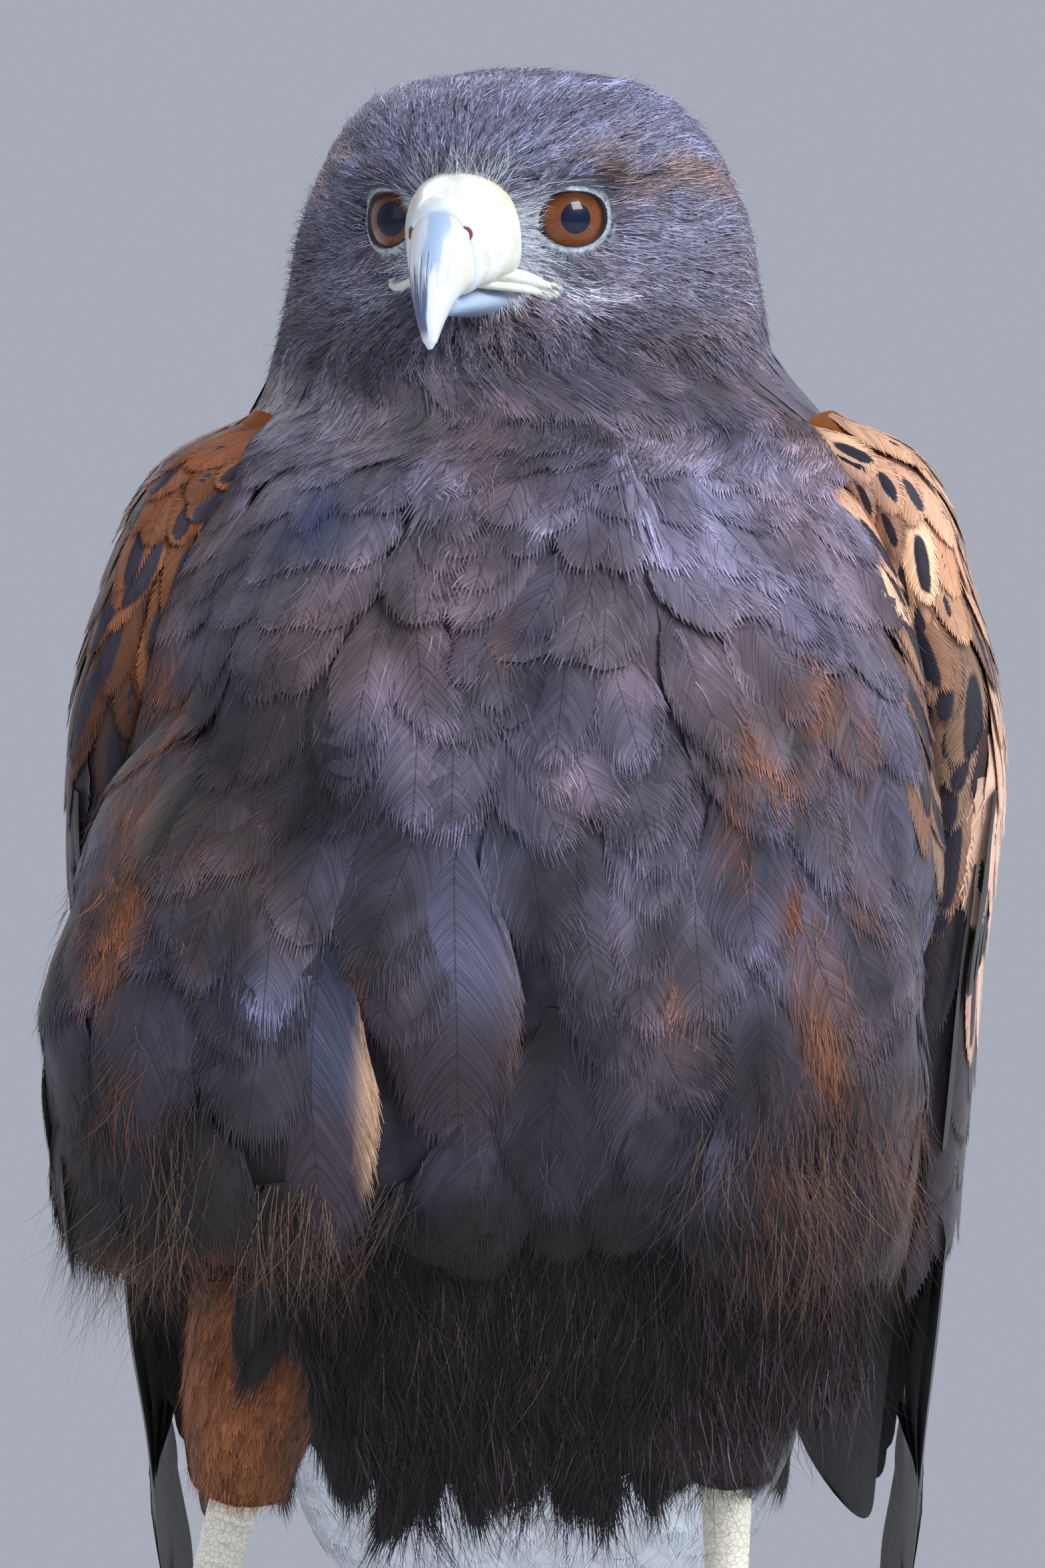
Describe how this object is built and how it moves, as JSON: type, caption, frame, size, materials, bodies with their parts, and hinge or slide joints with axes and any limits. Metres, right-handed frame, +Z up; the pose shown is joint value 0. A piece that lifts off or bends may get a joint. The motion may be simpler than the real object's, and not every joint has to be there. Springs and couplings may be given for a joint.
{
  "type": "harris hawk model",
  "caption": "Life-size still model of a harris hawk standing with its head turned to its right and its tail tip on the floor.",
  "frame": {"origin": "floor level, below the middle of the whole model's box", "axes": "+Z up; the bird faces -Y, its left side is at +X and its tail lies toward +Y"},
  "size_m": [0.1922, 0.32, 0.3347],
  "materials": {
    "plumage_brown": "matt feathers, grey-brown",
    "plumage_dark": "satin flight feathers, near black",
    "plumage_rufous": "matt feathers, rufous",
    "plumage_white": "matt feathers, white",
    "eye_brown": "polished, chestnut brown",
    "cere_yellow": "waxy bare skin, pale yellow",
    "bill_horn": "satin horn, blue-grey",
    "skin_yellow": "scaly bare skin, yellow",
    "claw_black": "satin horn, black"
  },
  "bodies": {
    "root": {"bill_lower": "bill_horn", "bill_upper": "bill_horn", "cere": "cere_yellow", "claw_hind_left": "claw_black", "claw_hind_right": "claw_black", "claw_inner_left": "claw_black", "claw_inner_right": "claw_black", "claw_middle_left": "claw_black", "claw_middle_right": "claw_black", "claw_outer_left": "claw_black", "claw_outer_right": "claw_black", "eye_left": "eye_brown", "eye_right": "eye_brown", "foot_left": "skin_yellow", "foot_right": "skin_yellow", "head": "plumage_brown", "neck": "plumage_brown", "tail": "plumage_dark", "tarsus_left": "skin_yellow", "tarsus_right": "skin_yellow", "thigh_left": "plumage_rufous", "thigh_right": "plumage_rufous", "torso": "plumage_brown", "undertail_coverts": "plumage_white", "uppertail_coverts": "plumage_white", "wing_left": "plumage_dark", "wing_right": "plumage_dark"}
  },
  "joints": []
}
